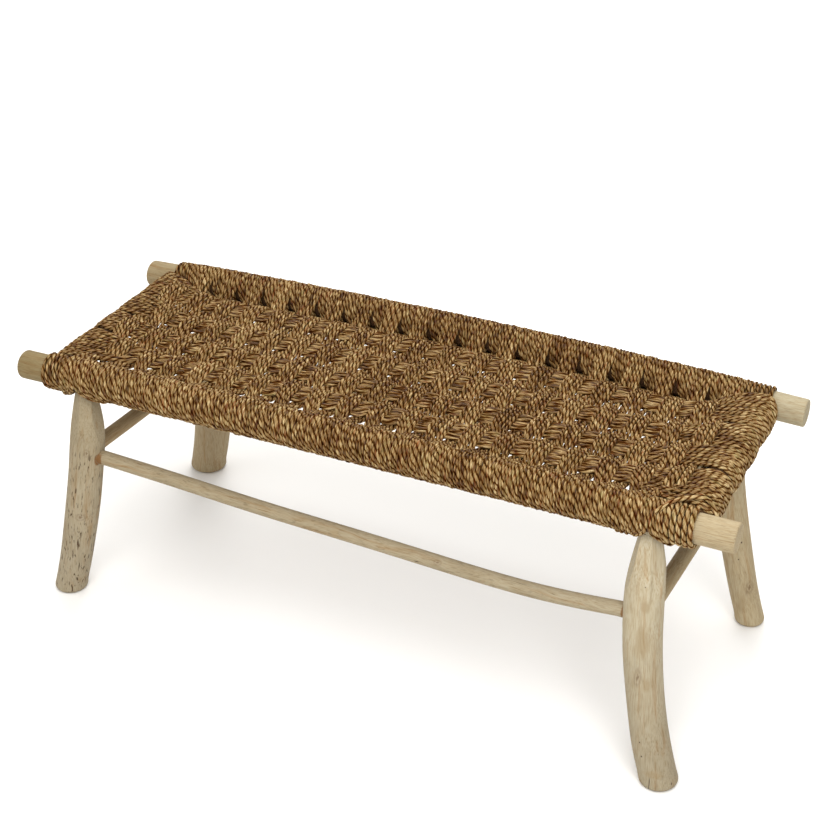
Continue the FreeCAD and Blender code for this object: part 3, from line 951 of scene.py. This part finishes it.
                    # The row's front edge draws back from a hole in the seam.
                    hole = self.holes.get(column if half < 0 else column + 1, 0.0)
                    y += self.hole_push * hole * max(0.0, spot)
                away = min(share, 1 - share) * self.columns / reach
                if away < 1:
                    fanned = self.fan_place(self.end_of(share - 0.5), row, member, 0)
                    y += (fanned - y) * (1 - away) ** self.fan_power
                x = self.seam(share, y)
                bulge = (1 - hollow * (2 * spot) ** 2) * lift
                z = self.seat_z(x, place) + level * bulge + depth
                route.append((x, y, z + self.stray(self.weft_strays[1])))
        for end in (self.left_end, self.right_end):
            near = route[0] if end.side < 0 else route[-1]
            fan_y = self.fan_place(end, row, member, 90)
            centre = (self.end_x(end, fan_y), self.end_z(end, fan_y))
            radius = end.radius + self.wrap_depth + depth * 0.3 + end.dome * (0.6 - (2 * spot) ** 2)
            turned = []
            bend = self.turn(centre, radius, (near[0], near[2]), end.side, 1, self.turn_end)
            for across, height, angle in bend:
                spread = min(1.0, max(0.0, 1.0 + angle / self.fan_turn))
                fanned = self.fan_place(end, row, member, angle) + self.stray(self.fan_stray)
                turned.append((across, near[1] + (fanned - near[1]) * spread, height))
            route = turned[::-1] + route if end.side < 0 else route + turned
        return self.make(
            route=route,
            across=(0, 1, 0),
            tint=self.tone(*self.weft_tint),
            lay=self.weft_lay * self.draw.uniform(*self.weft_lays),
            slack=self.weft_slack,
            bleach=self.weft_bleach,
            pieces=("left_end_rope", "weft_%d" % (row + 1), "right_end_rope"),
            cuts=((0, self.end_x(self.left_end, place)), (0, self.end_x(self.right_end, place))),
        )

    def fan_place(self, end: EndRail, row: int, member: int, angle: float) -> float:
        """Place across the bench of a weft strand on an end rail, where its row fans out.

        Args:
            end: the end rail.
            row: the row's number from the rear.
            member: the strand's number in its row.
            angle: angle round the end rail, from its top.

        Returns:
            The place across the bench.
        """
        reach = end.radius + self.wrap_depth
        beyond, height = around((0.0, 0.0), reach, reach, angle)
        edges = []
        for rail, x in ((self.rear, end.rear_x), (self.front, end.front_x)):
            bare = abs(x) + beyond > self.wrap_end
            clear = self.rope * self.edge_room[0] if bare else self.wrap_depth + self.rope * self.edge_room[1]
            room = rail.radius(x) + clear
            gap = math.sqrt(max(0.0, room * room - height * height))
            edges.append(float(rail.point(x)[1]) + rail.inward * gap)
        bounds = (edges[0], *self.fan_edges, edges[1])
        gaps = (0.0, *self.fan_gaps, 0.0)
        first, last = bounds[row] - gaps[row] / 2, bounds[row + 1] + gaps[row + 1] / 2
        return first + (last - first) * ((member + 0.5) / self.row_strands[row])

    def corner_wraps(self, rail: LongRail, side: int) -> list[Strand]:
        """Plain turns of rope round a long rail, beyond the end rail.

        Args:
            rail: the rail.
            side: -1 at the left, 1 at the right.

        Returns:
            The strands.
        """
        stout = rail is self.front and side > 0
        girth = self.rope * (self.stout_girth if stout else self.wrap_girth)
        start = abs(self.seam(0 if side < 0 else 1, rail.point(side * self.wrap_end)[1]))
        count = int(round((self.wrap_end - start) / girth))
        name = "front_rail_rope" if rail is self.front else "rear_rail_rope"
        first, last = self.wrap_angles
        made = []
        for order in range(count):
            x = side * (start + (order + 0.5) * (self.wrap_end - start) / count)
            centre = rail.point(x)
            reach = (rail.radius(x) + girth / 2) / math.cos(math.radians(self.turn_step / 2))
            points = []
            for angle in np.linspace(first, last, self.wrap_points):
                tucked = reach - (self.wrap_tuck if angle in (first, last) else 0.0)
                slant = rail.inward * girth * 0.9 * (angle - 90) / 360
                points.append((x + slant, *around(centre[1:], -rail.inward * tucked, tucked, angle)))
            values: dict[str, Any] = {}
            if stout:
                values = {"tint": self.draw.uniform(*self.stout_tints), "lay": self.lay * self.stout_lay}
            made.append(self.make(route=points, across=(1, 0, 0), pieces=(name,), diameter=girth, **values))
        if stout:
            # The rope's last length is laid over the corner and tucked in behind the end rail's turns.
            route = list(self.corner_tie)
            made.append(self.make(route=route, across=(0, 0, 1), pieces=(name,), tint=self.tie_tint))
        return made

    def build(self, loft: RopeLoft) -> None:
        """Lays every strand and makes the seat's pieces.

        Args:
            loft: what turns strands to meshes.
        """
        strands = []
        for column in range(self.columns):
            strands += [self.warp(column, member) for member in range(self.column_strands)]
        for row, count in enumerate(self.row_strands):
            strands += [self.weft(row, member) for member in range(count)]
        for rail in (self.front, self.rear):
            for side in (-1, 1):
                strands += self.corner_wraps(rail, side)
        loft.add(strands)
        places = ("front_rail", "rear_rail", "left_end", "right_end")
        nodes = {place + "_rope": [place + "_wrap"] for place in places}
        for row in range(len(self.row_places)):
            nodes["weft_%d" % (row + 1)] = ["weft_band_%d" % (row + 1)]
        for column in range(self.columns):
            nodes.setdefault("warp_%d" % (column // 8 + 1), []).append("warp_band_%02d" % (column + 1))
        for name, replaced in nodes.items():
            piece = loft.build(name)
            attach(piece, "root")
            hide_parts(*replaced)


@dataclass
class Woodwork:
    """The branches: rails, legs and stretchers."""

    finishes: tuple[WeatheredTeak, ...] = (
        WeatheredTeak(
            "front_rail", (1, 0.005, 0.011), ("#a09579", "#d8d0c0"), (-540.0, 540.0), "X", covered=544.0
        ),
        WeatheredTeak(
            "rear_rail", (1, 0.004, 0.006), ("#b2a893", "#cfcdc3"), (-540.0, 540.0), "X", covered=544.0
        ),
        WeatheredTeak("left_end_rail", (0, 1, 0), covered=600.0),
        WeatheredTeak("right_end_rail", (0, 1, 0), covered=600.0),
        WeatheredTeak(
            "leg_front_left",
            (0.13, 0.07, 1),
            ("#c4c1bb", "#c1bcb1"),
            speck_share=1.0,
            speck_top=330.0,
            dark="#66503a",
            marks=(
                Mark(RUST, (-458.5, -207.0, 273.0), (5.5, 7.5, 14.0)),
                Mark(KNOT, (-468.8, -219.3, 291.5), (6.0, 6.0, 10.0)),
                Mark(KNOT, (-490.7, -229.2, 165.2), (13.0, 10.0, 9.0)),
                Mark(PATCH, (-484.6, -215.6, 132.3), (5.0, 7.0, 14.0)),
            ),
        ),
        WeatheredTeak(
            "leg_front_right",
            (-0.1, 0.09, 1),
            ("#c2bfb8", "#e5e4df"),
            speck_share=0.12,
            marks=(
                Mark(PATCH, (491.5, -221.2, 299.7), (9.0, 9.0, 12.0)),
                Mark(PATCH, (493.6, -227.8, 243.5), (14.0, 12.0, 34.0)),
                Mark(KNOT, (492.9, -235.0, 185.3), (7.0, 7.0, 20.0)),
                Mark(PATCH, (506.5, -232.8, 174.0), (8.0, 9.0, 14.0)),
                Mark(HOLE, (507.6, -246.1, 78.1), (1.2, 1.2, 1.7)),
                Mark(HOLE, (513.2, -248.8, 55.7), (1.4, 1.4, 1.9)),
                Mark(HOLE, (488.0, -217.6, 330.7), (0.9, 0.9, 1.2)),
                Mark(HOLE, (529.7, -253.2, 12.0), (0.7, 4.0, 16.0)),
                Mark(HOLE, (558.8, -238.1, 9.0), (1.0, 2.0, 9.0)),
                Mark(PATCH, (536.0, -252.0, 30.0), (22.0, 12.0, 8.0)),
            ),
        ),
        WeatheredTeak("leg_rear_left", (0.14, -0.1, 1), ("#cbc2b2", "#d5ccbc"), speck_share=0.15),
        WeatheredTeak(
            "leg_rear_right",
            (-0.16, -0.06, 1),
            ("#d6cfc0", "#dcd6c8"),
            speck_share=0.15,
            marks=(
                Mark(KNOT, (546.0, 189.7, 80.1), (9.0, 9.0, 15.0)),
                Mark(HOLE, (525.3, 182.4, 168.7), (1.8, 1.8, 2.4)),
                Mark(HOLE, (524.4, 179.8, 136.3), (1.4, 1.4, 1.8)),
                Mark(PATCH, (537.7, 184.0, 46.2), (8.0, 8.0, 22.0)),
            ),
        ),
        WeatheredTeak(
            "front_stretcher",
            (1, 0, -0.01),
            ("#c0baae", "#c6c2b9"),
            (-450.0, 450.0),
            "X",
            speck_share=0.3,
            marks=(
                Mark(RUST, (-455.0, -208.2, 276.8), (7.0, 14.0, 14.0)),
                Mark(KNOT, (162.5, -206.8, 263.9), (9.0, 6.0, 5.0)),
                Mark(HOLE, (128.4, -208.8, 256.3), (5.0, 2.0, 1.2)),
                Mark(PATCH, (-12.7, -207.9, 265.9), (10.0, 8.0, 6.0)),
                Mark(RUST, (456.0, -205.8, 272.0), (5.0, 15.0, 15.0)),
            ),
        ),
        WeatheredTeak("rear_stretcher", (1, 0, 0.02), ("#cbc3b2", "#d2cdc0")),
        WeatheredTeak("left_stretcher", (0, 1, 0), ("#b9aa92", "#c4b6a0")),
        WeatheredTeak("right_stretcher", (0, 1, 0), ("#c4b9a4", "#cdc3b0")),
    )

    def build(self) -> None:
        """Gives each branch its finish."""
        for finish in self.finishes:
            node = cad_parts[finish.name]
            node.data.materials.clear()
            node.data.materials.append(finish.material())
            log.info("%s: dressed", finish.name)


@dataclass(frozen=True)
class Lamp:
    """A large square soft light: where it hangs, its side, its power in watts and the point it faces."""

    name: str
    place: Triple
    size: float
    power: float
    aim: Triple = (0.0, 0.0, 0.3)


@dataclass
class Studio:
    """A plain pale floor, soft light, and a camera at the photograph's viewing angle. Sizes are metres."""

    camera_place: Triple = (0.98722, -1.93323, 1.62813)
    camera_turn: Triple = (59.7512, 0.1508, 26.3753)
    focal_length: float = 67.045
    sensor_width: float = 36.0
    shift: Pair = (0.0044, -0.00123)
    lamps: tuple[Lamp, ...] = (
        Lamp("key", (0.9, -1.8, 2.9), 2.4, 104.0),
        Lamp("fill", (-2.6, -1.2, 1.8), 2.4, 14.0),
        Lamp("top", (-0.2, 1.2, 3.0), 2.4, 40.0),
        Lamp("backdrop", (-2.0, 4.6, 3.4), 3.2, 150.0, (-1.8, 3.6, 0.0)),
    )
    sky: str = "#fbfaf7"
    sky_strength: float = 0.55
    paper: str = "#f7f6f4"
    floor_size: float = 24.0
    floor_drop: float = 0.0005

    def build(self) -> None:
        """Makes the camera, the floor and the lights."""
        data = bpy.data.cameras.new("camera")
        data.sensor_width = self.sensor_width
        data.lens = self.focal_length
        data.shift_x, data.shift_y = self.shift
        camera = bpy.data.objects.new("camera", data)
        bpy.context.collection.objects.link(camera)
        camera.location = self.camera_place
        camera.rotation_euler = Euler([math.radians(angle) for angle in self.camera_turn])
        bpy.context.scene.camera = camera
        bpy.context.scene.view_settings.view_transform = "Standard"
        self.floor()
        for lamp in self.lamps:
            self.light(lamp)
        world = bpy.data.worlds.new("studio")
        bpy.context.scene.world = world
        world.use_nodes = True
        background = world.node_tree.nodes["Background"]
        background.inputs["Color"].default_value = linear(self.sky)
        background.inputs["Strength"].default_value = self.sky_strength

    def floor(self) -> None:
        """Makes the floor, a hair under the feet."""
        bpy.ops.object.select_all(action="DESELECT")
        bpy.ops.mesh.primitive_plane_add(size=self.floor_size, location=(0, 0, -self.floor_drop))
        floor = bpy.context.active_object
        floor.name = "floor"
        made = new_material("matt_paper_floor")
        tree = made.node_tree
        shader = add_node(tree, "BsdfPrincipled", {"Base Color": linear(self.paper), "Roughness": 0.9})
        add_node(tree, "OutputMaterial", {"Surface": shader})
        floor.data.materials.append(made)

    def light(self, lamp: Lamp) -> None:
        """Adds one light.

        Args:
            lamp: the light's make and place.
        """
        data = bpy.data.lights.new(lamp.name, "AREA")
        data.size = lamp.size
        data.energy = lamp.power
        made = bpy.data.objects.new(lamp.name, data)
        bpy.context.collection.objects.link(made)
        made.location = lamp.place
        made.rotation_euler = (Vector(lamp.aim) - Vector(lamp.place)).to_track_quat("-Z", "Y").to_euler()


def main() -> None:
    """Builds the bench and its studio."""
    logging.basicConfig(level=logging.INFO, format="%(name)s: %(message)s")
    Studio().build()
    Woodwork().build()
    WovenSeat().build(RopeLoft(SeagrassRope()))


if __name__ == "__main__":
    main()
